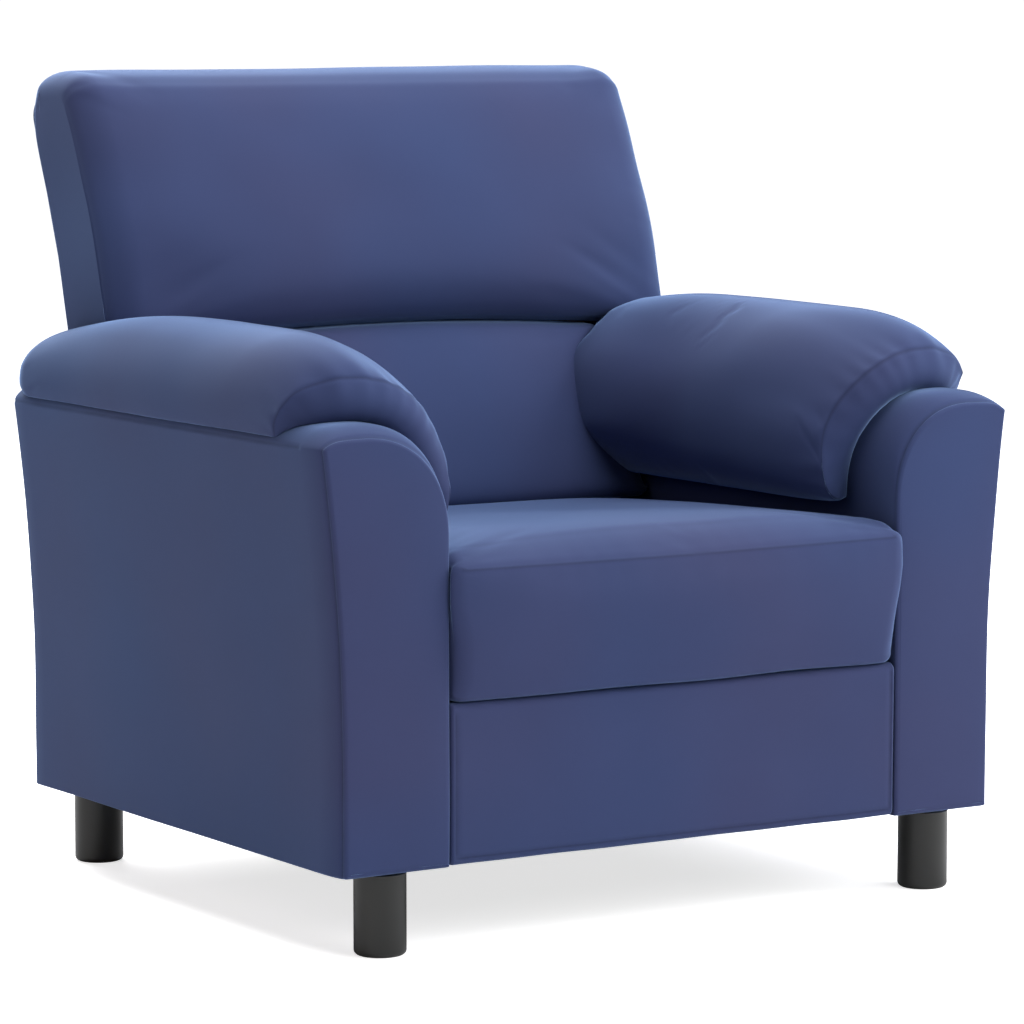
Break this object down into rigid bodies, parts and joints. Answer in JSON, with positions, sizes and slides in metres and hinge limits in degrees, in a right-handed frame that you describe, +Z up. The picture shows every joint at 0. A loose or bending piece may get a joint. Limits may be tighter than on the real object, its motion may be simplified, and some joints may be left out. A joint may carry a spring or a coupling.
{
  "type": "upholstered armchair",
  "caption": "Low fabric armchair with flared sides, pillow pads draped over the arms, a tight sprung seat, a reclined two-part back and short round legs.",
  "frame": {"origin": "on the floor, at the centre of the chair's footprint box", "axes": "+Z is up, the chair faces -Y, +X is the sitter's left; the chair is mirror-symmetric in X"},
  "size_m": [0.8, 0.7303, 0.815],
  "materials": {
    "upholstery": "brushed microfibre, dusty blue, with a pale sheen where it turns away",
    "foam": "open-cell foam",
    "timber": "planed, unfinished",
    "hardboard": "smooth one side",
    "legs": "dark grey, satin",
    "steel": "zinc plated",
    "webbing": "woven elastic",
    "felt": "needled felt",
    "lining": "black non-woven cloth"
  },
  "bodies": {
    "root": {"apron_cover": "upholstery", "arm_left_base_board": "timber", "arm_left_front_board": "timber", "arm_left_front_facing": "upholstery", "arm_left_outer_panel": "hardboard", "arm_left_pad_cover": "upholstery", "arm_left_pad_foam": "foam", "arm_left_rails": "timber", "arm_left_rear_board": "timber", "arm_left_rear_cover": "upholstery", "arm_left_roll_panel": "hardboard", "arm_left_side_cover": "upholstery", "arm_left_top_cover": "upholstery", "arm_right_base_board": "timber", "arm_right_front_board": "timber", "arm_right_front_facing": "upholstery", "arm_right_outer_panel": "hardboard", "arm_right_pad_cover": "upholstery", "arm_right_pad_foam": "foam", "arm_right_rails": "timber", "arm_right_rear_board": "timber", "arm_right_rear_cover": "upholstery", "arm_right_roll_panel": "hardboard", "arm_right_side_cover": "upholstery", "arm_right_top_cover": "upholstery", "back_bottom_rail": "timber", "back_mid_rail": "timber", "back_post_left": "timber", "back_post_right": "timber", "back_rear_cover": "upholstery", "back_rear_panel": "hardboard", "back_top_rail": "timber", "back_webbing": "webbing", "back_wing_left": "timber", "back_wing_right": "timber", "dust_cover": "lining", "frame_bolts": "steel", "frame_t_nuts": "steel", "head_cover": "upholstery", "head_foam": "foam", "leg_front_left": "legs", "leg_front_right": "legs", "leg_inserts": "steel", "leg_rear_left": "legs", "leg_rear_right": "legs", "leg_studs": "steel", "leg_washers": "steel", "lumbar_cover": "upholstery", "lumbar_foam": "foam", "seat_corner_blocks": "timber", "seat_cover": "upholstery", "seat_foam": "foam", "seat_front_rail": "timber", "seat_rear_rail": "timber", "seat_side_rail_left": "timber", "seat_side_rail_right": "timber", "seat_springs": "steel", "spring_clips": "steel", "spring_felt": "felt"}
  },
  "joints": []
}
